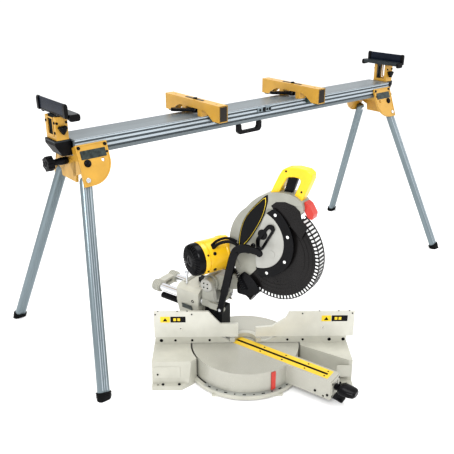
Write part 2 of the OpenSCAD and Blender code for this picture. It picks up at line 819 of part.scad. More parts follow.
beam();
left_housing();
right_housing();
housing_bolts();
leg_pins();
carry_handle();
front_left_leg();
rear_left_leg();
front_right_leg();
rear_right_leg();
front_left_foot();
rear_left_foot();
front_right_foot();
rear_right_foot();
left_extension();
right_extension();
left_yoke();
right_yoke();
left_support_top();
right_support_top();
left_stop_plate();
right_stop_plate();
left_height_knob();
right_height_knob();
left_extension_knob();
right_extension_knob();
left_bracket();
right_bracket();
left_bracket_lever();
right_bracket_lever();
saw_base();
mitre_scale();
lower_fence();
left_sliding_fence();
right_sliding_fence();
turntable();
kerf_plates();
mitre_pointer();
mitre_lock_handle();
detent_lever();
bevel_quadrant();
bevel_pin();
bevel_column();
carriage();
slide_lock_knob();
depth_rod();
slide_rails();
rail_end_cap();
pivot_bracket();
chop_pin();
head_casting();
arbor_cover();
motor_body();
motor_cap();
top_handle();
trigger();
lower_guard();
guard_link();
blade();
arbor_bolt();
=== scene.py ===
import json
import math

import bmesh
import bpy
from mathutils import Matrix, Vector


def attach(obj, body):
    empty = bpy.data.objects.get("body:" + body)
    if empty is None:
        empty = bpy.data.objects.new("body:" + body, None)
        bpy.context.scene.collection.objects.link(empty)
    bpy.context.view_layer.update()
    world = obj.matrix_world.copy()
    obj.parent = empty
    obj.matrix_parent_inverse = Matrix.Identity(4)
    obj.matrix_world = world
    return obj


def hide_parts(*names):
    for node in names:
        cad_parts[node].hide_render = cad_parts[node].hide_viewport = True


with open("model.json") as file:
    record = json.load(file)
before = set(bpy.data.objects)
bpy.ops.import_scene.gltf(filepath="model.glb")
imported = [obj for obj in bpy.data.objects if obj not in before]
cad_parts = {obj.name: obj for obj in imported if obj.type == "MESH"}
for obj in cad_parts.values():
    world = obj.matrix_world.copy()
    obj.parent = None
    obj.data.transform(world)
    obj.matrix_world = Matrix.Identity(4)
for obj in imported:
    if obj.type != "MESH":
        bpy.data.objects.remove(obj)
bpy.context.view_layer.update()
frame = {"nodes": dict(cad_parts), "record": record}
nodes = frame["nodes"]
rad = math.radians

# ---------- frames, with local sizes in millimetres ----------

MM = Matrix.Diagonal((0.001, 0.001, 0.001, 1.0))
FRONT_SHIFT = 281.0
STAND = MM @ Matrix.Translation((0, FRONT_SHIFT, 0))
SAW_AT, SAW_TURN, ARM_TURN = (-467, -510, 0), -38.7, 54
SAW = STAND @ Matrix.Translation(SAW_AT) @ Matrix.Rotation(rad(SAW_TURN), 4, "Z")
ARM = SAW @ Matrix.Rotation(rad(ARM_TURN), 4, "Z")
MOTOR = (ARM @ Matrix.Translation((-30, 116, 427)) @ Matrix.Rotation(rad(-22), 4, "Z")
         @ Matrix.Rotation(rad(-90), 4, "Y"))
POINTER = ARM @ Matrix.Rotation(rad(-27), 4, "Z")
# In the arm's plane: the blade's centre, forward and up
BLADE_A, BLADE_Z = 118.0, 492.0
# Stand: the beam's side face and half length, then the legs' pins and slopes, the supports and the knobs
BEAM_Y, BEAM_HALF = 61, 838.0
LEG_PIN, PLATE_TILT, LEG_SPLAY, LEG_DEPTH = (823, -108, 681), -21.3, -10.6, 21.5
SUPPORT_X = 866.0
YOKE_FACE, KNOB_FACE, KNOB_Z = 888, 896.5, 731
# Saw: the arm's front end, the lock handle's height, the rails and the chop pivot
ARM_END_Y, LOCK_Z, RAIL_X, RAIL_Z = -356, 62, 45, 240
CHOP_Y, CHOP_Z = 125, 318


def end_frame(side):
    """The stand's frame, mirrored for the left end."""
    return STAND @ Matrix.Diagonal((side, 1, 1, 1))


def plate_frame(side, face):
    """Origin on a leg's hinge pin, +x outward, +y into the housing, +z up the plate."""
    return (end_frame(side) @ Matrix.Diagonal((1, -face, 1, 1)) @ Matrix.Translation(LEG_PIN)
            @ Matrix.Rotation(rad(PLATE_TILT), 4, "X"))


def leg_frame(side, face):
    """Origin on the pin in the middle of the leg, which runs down along -z."""
    return (plate_frame(side, face) @ Matrix.Rotation(rad(LEG_SPLAY), 4, "Y")
            @ Matrix.Translation((0, LEG_DEPTH, 0)))


# ---------- materials ----------

M = {}


def finish_of(name, base, rough=0.5, metal=0.0, vary=0.08, grain=90.0, bump=0.06, stretch=(1, 1, 1),
              coat=0.0, rough_vary=0.08, spec=0.5):
    """A procedural finish: soft colour mottling, a roughness map and a fine surface texture."""
    m = bpy.data.materials.new(name)
    m.use_nodes = True
    t = m.node_tree
    n, link = t.nodes, t.links.new
    shader = n["Principled BSDF"]
    shader.inputs["Metallic"].default_value = metal
    shader.inputs["Coat Weight"].default_value = coat
    shader.inputs["Specular IOR Level"].default_value = spec
    shader.inputs["Coat Roughness"].default_value = 0.12
    where = n.new("ShaderNodeTexCoord")
    scale = n.new("ShaderNodeMapping")
    scale.inputs["Scale"].default_value = stretch
    link(where.outputs["Object"], scale.inputs["Vector"])
    broad = n.new("ShaderNodeTexNoise")
    broad.inputs["Scale"].default_value = grain * 0.22
    broad.inputs["Detail"].default_value = 4.0
    link(scale.outputs["Vector"], broad.inputs["Vector"])
    ramp = n.new("ShaderNodeValToRGB")
    lo = [max(0.0, c * (1 - vary)) for c in base]
    hi = [min(1.0, c * (1 + vary)) for c in base]
    ramp.color_ramp.elements[0].position = 0.32
    ramp.color_ramp.elements[0].color = (*lo, 1)
    ramp.color_ramp.elements[1].position = 0.68
    ramp.color_ramp.elements[1].color = (*hi, 1)
    link(broad.outputs["Fac"], ramp.inputs["Fac"])
    link(ramp.outputs["Color"], shader.inputs["Base Color"])
    fine = n.new("ShaderNodeTexNoise")
    fine.inputs["Scale"].default_value = grain * 6
    fine.inputs["Detail"].default_value = 6.0
    link(scale.outputs["Vector"], fine.inputs["Vector"])
    spread = n.new("ShaderNodeMapRange")
    spread.inputs["To Min"].default_value = max(0.03, rough - rough_vary)
    spread.inputs["To Max"].default_value = min(1.0, rough + rough_vary)
    link(fine.outputs["Fac"], spread.inputs["Value"])
    link(spread.outputs["Result"], shader.inputs["Roughness"])
    relief = n.new("ShaderNodeBump")
    relief.inputs["Strength"].default_value = bump
    relief.inputs["Distance"].default_value = 0.0006
    link(fine.outputs["Fac"], relief.inputs["Height"])
    link(relief.outputs["Normal"], shader.inputs["Normal"])
    M[name] = m
    return m


finish_of("beam_aluminium", (0.15, 0.175, 0.19), 0.36, 0.4, 0.12, 60, 0.10, (0.05, 1, 1))
finish_of("leg_aluminium", (0.19, 0.23, 0.25), 0.30, 0.7, 0.05, 60, 0.015, (1, 1, 0.04),
          rough_vary=0.04)
finish_of("stand_yellow", (0.47, 0.262, 0.032), 0.42, 0.0, 0.07, 90, 0.12, coat=0.25)
finish_of("saw_yellow", (0.72, 0.43, 0.006), 0.34, 0.0, 0.05, 80, 0.08, coat=0.3)
finish_of("handle_yellow", (0.78, 0.50, 0.008), 0.36, 0.0, 0.05, 70, 0.06, coat=0.25)
finish_of("kerf_yellow", (0.66, 0.45, 0.030), 0.45, 0.0, 0.06, 80, 0.08)
finish_of("black_plastic", (0.006, 0.006, 0.007), 0.45, 0.0, 0.3, 120, 0.12, spec=0.12)
finish_of("gloss_black", (0.004, 0.004, 0.005), 0.22, 0.0, 0.3, 90, 0.04, spec=0.15)
finish_of("black_rubber", (0.008, 0.008, 0.009), 0.6, 0.0, 0.3, 120, 0.2, spec=0.1)
finish_of("dark_steel", (0.012, 0.013, 0.015), 0.36, 0.1, 0.3, 90, 0.1, spec=0.15)
finish_of("bright_steel", (0.58, 0.59, 0.61), 0.28, 1.0, 0.08, 110, 0.06)
finish_of("chrome", (0.74, 0.75, 0.77), 0.10, 1.0, 0.04, 60, 0.02, rough_vary=0.03)
finish_of("cream_casting", (0.42, 0.415, 0.36), 0.40, 0.0, 0.06, 90, 0.16, coat=0.1)
finish_of("head_cream", (0.27, 0.27, 0.235), 0.38, 0.0, 0.07, 90, 0.14, coat=0.1)
finish_of("fence_casting", (0.52, 0.515, 0.46), 0.36, 0.05, 0.05, 90, 0.10, coat=0.1)
finish_of("cover_cream", (0.34, 0.34, 0.315), 0.30, 0.05, 0.05, 70, 0.06, coat=0.2)
finish_of("table_top", (0.37, 0.365, 0.32), 0.26, 0.1, 0.03, 60, 0.03, coat=0.15, rough_vary=0.04)
finish_of("grey_top", (0.020, 0.026, 0.030), 0.40, 0.1, 0.2, 90, 0.1, spec=0.35)
finish_of("stop_black", (0.006, 0.010, 0.020), 0.26, 0.0, 0.2, 90, 0.05, spec=0.16)
finish_of("smoked_guard", (0.010, 0.009, 0.009), 0.28, 0.0, 0.3, 70, 0.05, spec=0.20)
finish_of("clear_window", (0.80, 0.81, 0.80), 0.22, 0.0, 0.06, 70, 0.03)
finish_of("red_plastic", (0.46, 0.028, 0.016), 0.36, 0.0, 0.06, 80, 0.06, coat=0.2)
finish_of("scale_plate", (0.42, 0.43, 0.41), 0.36, 0.6, 0.08, 90, 0.08)
finish_of("label_dark", (0.035, 0.045, 0.042), 0.35, 0.2, 0.45, 300, 0.05, spec=0.3)
finish_of("label_yellow", (0.72, 0.52, 0.02), 0.42, 0.0, 0.06, 120, 0.04)
# Painted highlight: this light blue-grey colours thin strips on the beam's ribs and along the legs' outer
# faces, standing in for glints of light on the extrusions.
finish_of("painted_highlight_strip", (0.38, 0.43, 0.47), 0.30, 0.3, 0.08, 60, 0.04, (0.05, 1, 1))
# Painted shade: this dark colour lines the beam's grooves and stands in for the shade in them.
finish_of("painted_shade_groove", (0.060, 0.075, 0.085), 0.45, 0.3, 0.2, 60, 0.06, (0.05, 1, 1))
finish_of("jaw_green", (0.030, 0.060, 0.052), 0.5, 0.1, 0.2, 120, 0.15)
# Painted shade: this near-black colours thin sheets in the bracket ends' openings and along the kerf slot's
# walls, standing in for the shade inside these hollows.
finish_of("painted_shade_hollow", (0.016, 0.012, 0.009), 0.8, 0.0, 0.3, 120, 0.1)

# CAD nodes whose finish is finer than their slot says
SPECIAL = {"top_handle": "handle_yellow", "kerf_plates": "kerf_yellow", "head_casting": "head_cream",
           "arbor_cover": "cover_cream", "trigger": "gloss_black", "left_stop_plate": "stop_black",
           "right_stop_plate": "stop_black", "arbor_bolt": "cover_cream", "pivot_bracket": "head_cream",
           "turntable": "table_top"}
for part in frame["record"]["subparts"]:
    ob = nodes[part["node"]]
    ob.data.materials.clear()
    ob.data.materials.append(M[SPECIAL.get(part["node"], part["material_slot"])])


# ---------- mesh builders (millimetres, local frames) ----------

def prism(bm, loop, vec):
    """Extrudes a closed loop of 3-D points by vec."""
    a = [bm.verts.new(p) for p in loop]
    b = [bm.verts.new(Vector(p) + Vector(vec)) for p in loop]
    k = len(loop)
    bm.faces.new(a)
    bm.faces.new(list(reversed(b)))
    for i in range(k):
        bm.faces.new((a[i], a[(i + 1) % k], b[(i + 1) % k], b[i]))


def band(bm, outer, inner, vec):
    """A frame or ring between two loops of equal length, extruded by vec."""
    vec = Vector(vec)
    k = len(outer)
    o0, i0 = [bm.verts.new(p) for p in outer], [bm.verts.new(p) for p in inner]
    o1, i1 = [bm.verts.new(Vector(p) + vec) for p in outer], [bm.verts.new(Vector(p) + vec) for p in inner]
    for a in range(k):
        b = (a + 1) % k
        bm.faces.new((o0[a], o0[b], i0[b], i0[a]))
        bm.faces.new((o1[b], o1[a], i1[a], i1[b]))
        bm.faces.new((o0[b], o0[a], o1[a], o1[b]))
        bm.faces.new((i0[a], i0[b], i1[b], i1[a]))


def loft(bm, rings):
    """Joins rings of vertices into a skin and closes its two ends."""
    for p, q in zip(rings, rings[1:]):
        for i in range(len(p)):
            j = (i + 1) % len(p)
            bm.faces.new((p[i], p[j], q[j], q[i]))
    bm.faces.new(list(reversed(rings[0])))
    bm.faces.new(rings[-1])


def box(bm, lo, hi):
    """A box between its lowest and highest corners."""
    prism(bm, [(lo[0], lo[1], lo[2]), (hi[0], lo[1], lo[2]), (hi[0], hi[1], lo[2]), (lo[0], hi[1], lo[2])],
          (0, 0, hi[2] - lo[2]))


def round_angles(count):
    return [2 * math.pi * i / count for i in range(count)]


def lathe(bm, profile, at, axis, seg=32):
    """Revolves (radius, height) pairs about an axis; ends are closed."""
    axis = Vector(axis).normalized()
    side = axis.orthogonal().normalized()
    other = axis.cross(side)
    at = Vector(at)
    rings = []
    for r, h in profile:
        rings.append([bm.verts.new(at + axis * h + (side * math.cos(t) + other * math.sin(t)) * r)
                      for t in round_angles(seg)])
    loft(bm, rings)


def tube(bm, pts, r, seg=14, flat=1.0):
    """Sweeps a round or flattened section along points; ends are closed."""
    pts = [Vector(p) for p in pts]
    up = None
    rings = []
    for i, p in enumerate(pts):
        d = (pts[min(i + 1, len(pts) - 1)] - pts[max(i - 1, 0)]).normalized()
        up = d.orthogonal().normalized() if up is None else (up - d * up.dot(d)).normalized()
        side = d.cross(up)
        rings.append([bm.verts.new(p + (up * math.cos(t) * flat + side * math.sin(t)) * r)
                      for t in round_angles(seg)])
    loft(bm, rings)


def smooth_path(pts, steps=6):
    """A Catmull-Rom curve through points."""
    pts = [Vector(p) for p in pts]
    ext = [pts[0] * 2 - pts[1]] + pts + [pts[-1] * 2 - pts[-2]]
    out = []
    for i in range(1, len(ext) - 2):
        a, b, c, d = ext[i - 1:i + 3]
        for s in range(steps):
            t = s / steps
            out.append(0.5 * (2 * b + (c - a) * t + (2 * a - 5 * b + 4 * c - d) * t * t
                              + (3 * b - a - 3 * c + d) * t ** 3))
    out.append(pts[-1])
    return out


def piece(name, bm, place, body, material, bevel=0.0, seg=2, angle=32):
    """Turns a mesh into a finished object that rides on a body; bevel is in millimetres."""
    bmesh.ops.transform(bm, matrix=place, verts=bm.verts)
    bmesh.ops.recalc_face_normals(bm, faces=bm.faces)
    me = bpy.data.meshes.new(name)
    bm.to_mesh(me)
    bm.free()
    for p in me.polygons:
        p.use_smooth = True
    me.set_sharp_from_angle(angle=rad(angle))
    ob = bpy.data.objects.new(name, me)
    bpy.context.scene.collection.objects.link(ob)
    me.materials.append(M[material])
    if bevel:
        b = ob.modifiers.new("edge", "BEVEL")
        b.width = bevel / 1000
        b.segments = seg
        b.limit_method = "ANGLE"
        b.angle_limit = rad(30)
        b.harden_normals = True
    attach(ob, body)
    return ob


def new():
    return bmesh.new()


def xz(points, y):
    """(x, z) points on the plane at y."""
    return [(x, y, z) for x, z in points]


def nz(points, n):
    """(forward, up) points on the arm's side plane at n."""
    return [(n, -a, z) for a, z in points]


def ring_pts(c, r, a0, a1, k):
    """An arc about c from angle a0 to a1, in degrees, with k steps."""
    angles = [rad(a0 + (a1 - a0) * i / k) for i in range(k + 1)]
    return [(c[0] + r * math.cos(t), c[1] + r * math.sin(t)) for t in angles]


def circle_pts(c, r, k):
    return ring_pts(c, r, 0, 360, k)[:-1]


def sector(c, r_out, r_in, a0, a1, k):
    """A closed outline between two arcs about c."""
    return ring_pts(c, r_out, a0, a1, k) + list(reversed(ring_pts(c, r_in, a0, a1, k)))


def rect(x0, y0, x1, y1):
    return [(x0, y0), (x1, y0), (x1, y1), (x0, y1)]


def scaled(points, mid, factor):
    """Shrinks a 2-D outline towards a point."""
    return [tuple(Vector(mid) + (Vector(p) - Vector(mid)) * factor) for p in points]


def flat_curve(points, steps):
    """A smooth curve through 2-D points."""
    return [(p.x, p.y) for p in smooth_path([(x, y, 0) for x, y in points], steps)]


def spoke(t):
    """The outward and the sideways direction at angle t, in radians, about z."""
    return Vector((math.cos(t), math.sin(t), 0)), Vector((-math.sin(t), math.cos(t), 0))


def rounded(points, r, k=4):
    """Rounds the corners of a closed 2-D outline."""
    out = []
    m = len(points)
    for i in range(m):
        p, a, b = Vector(points[i]), Vector(points[i - 1]), Vector(points[(i + 1) % m])
        u, v = (a - p), (b - p)
        d = min(r, u.length * 0.48, v.length * 0.48)
        s, e = p + u.normalized() * d, p + v.normalized() * d
        for j in range(k + 1):
            t = j / k
            q = s * (1 - t) ** 2 + p * 2 * t * (1 - t) + e * t * t
            out.append((q.x, q.y))
    return out


def screw(bm, at, axis, r, h=2.0):
    """A socket-head screw: a domed rim round a recessed socket."""
    lathe(bm, [(r, 0), (r, h * 0.7), (r * 0.86, h), (r * 0.5, h), (r * 0.46, h * 0.35)], at, axis, 20)


# ---------- stand: beam and end castings ----------

side_ribs = [(59, 813), (61, 811), (61, 805.5), (57.5, 804.5), (57.5, 800.5), (61, 799.5), (61, 791), (57, 790),
             (57, 784.5), (61, 783.5), (61, 774.5), (57, 773.5), (57, 768), (61, 767), (61, 757), (59.5, 754.5)]
bm = new()
k = len(side_ribs)
outer = [(-BEAM_HALF, y, z) for y, z in side_ribs] + [(-BEAM_HALF, -y, z) for y, z in reversed(side_ribs)]
HOLLOW_HALF, HOLLOW_TOP, HOLLOW_H = 49, 808, 49
inner_z = [HOLLOW_TOP - HOLLOW_H * i / (k - 1) for i in range(k)]
inner = ([(-BEAM_HALF, HOLLOW_HALF, z) for z in inner_z]
         + [(-BEAM_HALF, -HOLLOW_HALF, z) for z in reversed(inner_z)])
band(bm, outer, inner, (2 * BEAM_HALF, 0, 0))
ob = piece("beam_extrusion", bm, STAND, "stand_frame", "beam_aluminium", angle=20)
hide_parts("beam")

PLATE_R, PLATE_OUT, PLATE_IN, PLATE_LOW, PLATE_HIGH = 84, 17, -101, -21, 121
plate_loop = ([(PLATE_OUT, PLATE_LOW), (PLATE_OUT, PLATE_HIGH), (PLATE_IN, PLATE_HIGH)]
              + ring_pts((PLATE_IN + PLATE_R, PLATE_LOW + PLATE_R), PLATE_R, 180, 270, 16))
cheek = [(0, 26), (68, 26), (70, 76), (32, 84), (27, 119), (0, 119)]
LEG_HALF, LEG_FLAT, FLUTE = 13.0, 9, 1.4
LEG_RINGS = ((16, 0.45), (10, 0.8), (0, 1.0), (-712, 1.0))
FOOT_R, FOOT_FLAT = 15.5, 9.5


def leg_section():
    """The fluted section of a leg: grooves along both flats, and round ends."""
    groove = LEG_HALF - FLUTE
    flat = [(10, LEG_HALF), (6.5, LEG_HALF), (5.5, groove), (2, groove), (1, LEG_HALF), (-1, LEG_HALF),
            (-2, groove), (-5.5, groove), (-6.5, LEG_HALF), (-10, LEG_HALF)]
    out = []
    for s in (1, -1):
        out += [(s * x, s * y) for x, y in flat]
        out += [(s * -LEG_FLAT + s * -LEG_HALF * math.sin(rad(a)), s * LEG_HALF * math.cos(rad(a)))
                for a in range(12, 180, 12)]
    return out


def foot_section(r, z):
    return [(s * (-FOOT_FLAT) + s * -r * math.sin(rad(a)), s * r * math.cos(rad(a)), z)
            for s in (1, -1) for a in range(0, 181, 15)]


for side, end in ((-1, "left"), (1, "right")):
    for face, face_name in ((-1, "front"), (1, "rear")):
        plate, housing = plate_frame(side, face), end + "_" + face_name
        bm = new()
        band(bm, xz(plate_loop, 0), xz(scaled(plate_loop, (-38, 52), 0.93), 0), (0, -1.8, 0))
        piece(housing + "_plate_rim", bm, plate, "stand_frame", "stand_yellow", 0.7)
        bm = new()
        for x, z in ((7, 111), (-92, 111)):
            screw(bm, (x, 0, z), (0, -1, 0), 5.5, 4.0)
        lathe(bm, [(13, 0), (13, 2), (11.5, 3.5), (11, 3.2), (10.5, 5), (6, 7.5), (1, 8)],
              (-13, 0, 56), (0, -1, 0), 32)
        piece(housing + "_plate_bolts", bm, plate, "stand_frame", "gloss_black", 0)
        bm = new()
        prism(bm, xz(rounded(rect(-90, 70, 5, 100), 3), 0.4), (0, -1.6, 0))
        piece(housing + "_label", bm, plate, "stand_frame", "label_dark", 0.4)
        bm = new()
        lathe(bm, [(8.5, 0), (8.5, 3.4), (7.4, 4.4), (3, 4.6), (2.6, 3.8)], (0, 0, 0), (0, -1, 0), 28)
        piece(housing + "_pin_head", bm, plate, "stand_frame", "bright_steel", 0)
        bm = new()
        prism(bm, [(14.8, y, z) for y, z in cheek], (2.2, 0, 0))
        piece(housing + "_cheek", bm, plate, "stand_frame", "stand_yellow", 0.7)

        leg, leg_place = face_name + "_" + end, leg_frame(side, face)
        # Painted highlights: three thin light strips down each leg's outer face, beside its flutes, stand in
        # for glints of light.
        bm = new()
        for x0, x1 in ((-9.6, -6.8), (-0.9, 0.9), (6.8, 9.6)):
            box(bm, (x0, -13.35, -706), (x1, -12.9, 2))
        piece(leg + "_leg_painted_highlights", bm, leg_place, leg + "_leg_body", "painted_highlight_strip", 0)
        bm = new()
        loft(bm, [[bm.verts.new((x * grow, y, z)) for x, y in leg_section()] for z, grow in LEG_RINGS])
        ob = piece(leg + "_fluted_leg", bm, leg_place, leg + "_leg_body", "leg_aluminium",
                   angle=25)
        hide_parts(leg + "_leg")
        bm = new()
        for z, grow in ((-716, 2.2), (-722, 1.6), (-728, 1.6)):
            prism(bm, foot_section(FOOT_R + grow, z), (0, 0, 3))
        piece(leg + "_foot_ribs", bm, leg_place, leg + "_leg_body", "black_rubber", 0.8)

# Painted highlights: thin light strips on the beam's ribs and along its top edges.
bm = new()
for s in (-1, 1):
    for z0, z1 in ((791.4, 799.0), (774.9, 783.1), (805.9, 810.4)):
        box(bm, (-BEAM_HALF + 2, s * BEAM_Y - 0.25, z0), (BEAM_HALF - 2, s * BEAM_Y + 0.25, z1))
    box(bm, (-BEAM_HALF + 2, s * 59.6 - 0.9, 812.2), (BEAM_HALF - 2, s * 59.6 + 0.9, 813.2))
piece("beam_painted_highlight_ribs", bm, STAND, "stand_frame", "painted_highlight_strip", 0)
# Painted shade: thin dark strips laid in the beam's grooves.
bm = new()
for s in (-1, 1):
    for z0, z1 in ((784.6, 789.9), (768.2, 773.4), (800.7, 804.3)):
        box(bm, (-BEAM_HALF + 2, s * 57.4 - 0.3, z0), (BEAM_HALF - 2, s * 57.4 + 0.3, z1))
piece("beam_painted_shade_grooves", bm, STAND, "stand_frame", "painted_shade_groove", 0)
bm = new()
loop = rounded([(-125, 754), (-125, 724), (-114, 712), (-6, 712), (5, 724), (5, 754), (-15, 754), (-17, 732),
                (-24, 726), (-96, 726), (-103, 732), (-105, 754)], 5)
prism(bm, xz(loop, -62), (0, 16, 0))
ob = piece("carry_grip_moulding", bm, STAND, "stand_frame", "gloss_black", 2.5, 3)
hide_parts("carry_handle")
bm = new()
box(bm, (-22, -64.5, 789), (8, -61, 806))
box(bm, (22, -65.5, 787), (50, -61, 808))
piece("beam_clip", bm, STAND, "stand_frame", "leg_aluminium", 1.0)
bm = new()
for x, r in ((-8, 5.0), (14, 6.5), (30, 5.0), (45, 6.5)):
    lathe(bm, [(r, 0), (r, 5), (r * 0.7, 6.5)], (x, -61, 797), (0, -1, 0), 24)
piece("beam_clip_knobs", bm, STAND, "stand_frame", "gloss_black", 0)

# ---------- stand: work supports ----------

for side, end in ((-1, "left"), (1, "right")):
    place = end_frame(side)
    bm = new()
    for s in (-1, 1):
        loop = rounded(rect(SUPPORT_X - 36, 885, SUPPORT_X + 3, 908.6), 9)
        prism(bm, xz(loop, s * 97), (0, s * 11, 0))
    piece(end + "_roller_ends", bm, place, end + "_support_body", "gloss_black", 3.0, 3)
    bm = new()
    for z in (889.5, 893.0):
        x = SUPPORT_X - 6 + (893 - z)
        tube(bm, [(x, -88, z), (x, 88, z)], 1.6)
    piece(end + "_support_strips", bm, place, end + "_support_body", "chrome", 0)
    bm = new()
    prism(bm, xz(rounded(rect(872.8, 903, 879.2, 942.6), 2.4), -88), (0, 176, 0))
    ob = piece(end + "_stop_moulding", bm, place, end + "_stop_body", "stop_black", 0.8)
    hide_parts(end + "_stop_plate")
    bm = new()
    for s in (-1, 1):
        loop = rounded([(870.6, 896.5), (883, 896.5), (884, 936), (880, 944), (874, 944), (870, 936)], 4)
        prism(bm, xz(loop, s * 89), (0, s * 15, 0))
    tube(bm, [(SUPPORT_X + 10, -100, 901), (SUPPORT_X + 10, 100, 901)], 3.5)
    piece(end + "_stop_ends", bm, place, end + "_stop_body", "gloss_black", 1.6, 3)
    bm = new()
    for s in (-1, 1):
        for x in (849, 883):
            screw(bm, (x, s * 37, 871), (0, s, 0), 4.2, 3)
    for y, z in ((-30, 872), (30, 872), (-30, 838)):
        screw(bm, (YOKE_FACE, y, z), (1, 0, 0), 4.5, 3)
    piece(end + "_yoke_screws", bm, place, end + "_extension_body", "gloss_black", 0)
    bm = new()
    outer, inner = [[(YOKE_FACE, y, z) for y, z in rounded(rect(*edges), 3)]
                    for edges in ((-22, 826, 22, 889), (-17, 831, 17, 884))]
    band(bm, outer, inner, (1.6, 0, 0))
    piece(end + "_yoke_frame", bm, place, end + "_extension_body", "stand_yellow", 0.5)
    bm = new()
    box(bm, (839.5, -37.6, 806), (896.6, 37.6, 811.5))
    piece(end + "_block_edge", bm, place, end + "_extension_body", "grey_top", 1.2)
    bm = new()
    lathe(bm, [(11, 0), (13, 3), (13, 30), (11, 34), (11, 58)], (841, 0, KNOB_Z), (1, 0, 0), 28)
    for i in range(6):
        t = i * math.pi / 3
        lathe(bm, [(5.5, 0), (8, 3), (8.2, 12), (7.5, 20), (4, 24)],
              (KNOB_FACE, 18 * math.cos(t), KNOB_Z + 18 * math.sin(t)), (1, 0, 0), 18)
    lathe(bm, [(15, -1), (19, 3), (19.5, 18), (16, 23), (9, 25), (8, 22)], (KNOB_FACE, 0, KNOB_Z),
          (1, 0, 0), 32)
    piece(end + "_extension_knob_grip", bm, place, end + "_extension_knob_body", "gloss_black", 0)
    bm = new()
    for i in range(3):
        t = i * 2 * math.pi / 3 + 0.5
        lathe(bm, [(5, 0), (6.2, 3), (6.2, 12), (4, 16)],
              (SUPPORT_X + 11 * math.cos(t), -37.6, 850 + 11 * math.sin(t)), (0, -1, 0), 18)
    lathe(bm, [(10, 0), (12, 3), (12, 13), (8, 17)], (SUPPORT_X, -37.6, 850), (0, -1, 0), 24)
    ob = piece(end + "_height_knob_grip", bm, place, end + "_height_knob_body", "gloss_black", 0)
    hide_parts(end + "_height_knob")

# ---------- stand: saw brackets ----------

BRACKET_HALF = 172
for end, x in (("left", -289.0), ("right", 239.0)):
    body = end + "_bracket_body"
    # Painted shade: a thin dark sheet fills the opening in each end of the bracket.
    bm = new()
    for y0, y1 in ((-171.4, -170.4), (170.4, 171.4)):
        box(bm, (x - 16.5, y0, 812), (x + 16.5, y1, 865.5))
    piece(end + "_bracket_painted_shade", bm, STAND, body, "painted_shade_hollow", 0)
    bm = new()
    for s in (-1, 1):
        outer = xz(rect(x - 20.6, 807.4, x + 20.6, 870.6), s * BRACKET_HALF)
        inner = xz(rect(x - 16.6, 811, x + 16.6, 866), s * BRACKET_HALF)
        band(bm, outer, inner, (0, -s * 3.5, 0))
    piece(end + "_bracket_end_frames", bm, STAND, body, "stand_yellow", 1.0)
    bm = new()
    loop = rounded(rect(x - 6, -52, x + 6, 60), 5)
    prism(bm, [(p[0], p[1], 870) for p in loop], (0, 0, 1.4))
    lathe(bm, [(9, 0), (9, 3), (7, 5)], (x, 0, 871), (0, 0, 1), 6)
    piece(end + "_bracket_slot", bm, STAND, body, "gloss_black", 0.4)
    bm = new()
    for s in (-1, 1):
        box(bm, (x + 19, s * 69 - 6, 793), (x + 40, s * 69 + 6, 824))
        box(bm, (x - 17, s * 150 - 10, 803), (x + 17, s * 150 + 10, 808.5))
    piece(end + "_bracket_jaws", bm, STAND, body, "jaw_green", 1.5)
    bm = new()
    turn = STAND @ Matrix.Translation((x, 0, 0)) @ Matrix.Rotation(rad(135), 4, "Z")
    loop = rounded([(4, -9), (84, -12), (95, -9), (98, 0), (95, 9), (84, 12), (4, 9)], 8)
    prism(bm, [(p[0], p[1], 821.5) for p in loop], (0, 0, 12))
    lathe(bm, [(13, 0), (14, 2), (14, 16), (12, 20)], (0, 0, 818), (0, 0, 1), 28)
    ob = piece(end + "_clamp_lever", bm, turn, end + "_lever_body", "gloss_black", 2.5, 3)
    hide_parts(end + "_bracket_lever")

# ---------- saw base, fences and table ----------

bm = new()
for i in range(13):
    d, e = spoke(rad(-130 + 9.2 * i))
    c = d * 200.5
    w = 5.5 if i % 2 == 0 else 2.4
    loop = [c + d * 2.4 + e * w, c - d * 2.4 + e * w, c - d * 2.4 - e * w, c + d * 2.4 - e * w]
    prism(bm, [(p.x, p.y, 22.6) for p in loop], (0, 0, 0.9))
piece("ring_notches", bm, SAW, "saw_base_body", "gloss_black", 0)
bm = new()
for t in (-150, -118, -84, -50, -24):
    screw(bm, (178 * math.cos(rad(t)), 178 * math.sin(rad(t)), 20), (0, 0, 1), 4.0, 2.5)
for x, y in ((-288, -131), (322, -131), (-232, -131)):
    screw(bm, (x, y, 16), (0, 0, 1), 5.0, 3)
for x in (-300, -250, -190, -128, 150, 205, 300, 350):
    screw(bm, (x, 0, 110), (0, -1, 0), 4.2 if abs(x) < 280 else 6.0, 2.2)
screw(bm, (-306, -120.5, 50), (0, -1, 0), 3.0, 2.0)
piece("base_screws", bm, SAW, "saw_base_body", "gloss_black", 0)
bm = new()
for x0, x1 in ((-318, -228), (309, 358)):
    loop = rounded(rect(x0, 34, x1, 78), 6)
    prism(bm, [(px, -120 + (pz - 30) * 7 / 67 - 0.2, pz) for px, pz in loop], (0, -1.4, 0))
piece("wing_front_panels", bm, SAW, "saw_base_body", "cream_casting", 0.6)
bm = new()
near = ring_pts((0, 0), 190.9, -226, 46, 90)
far = ring_pts((0, 0), 193.6, -226, 46, 90)
for a, b, c, d in zip(near, near[1:], far, far[1:]):
    prism(bm, [(a[0], a[1], 20.3), (b[0], b[1], 20.3), (d[0], d[1], 20.3), (c[0], c[1], 20.3)], (0, 0, 2.0))
bmesh.ops.remove_doubles(bm, verts=bm.verts, dist=0.001)
piece("ring_seal", bm, SAW, "saw_base_body", "gloss_black", 0)

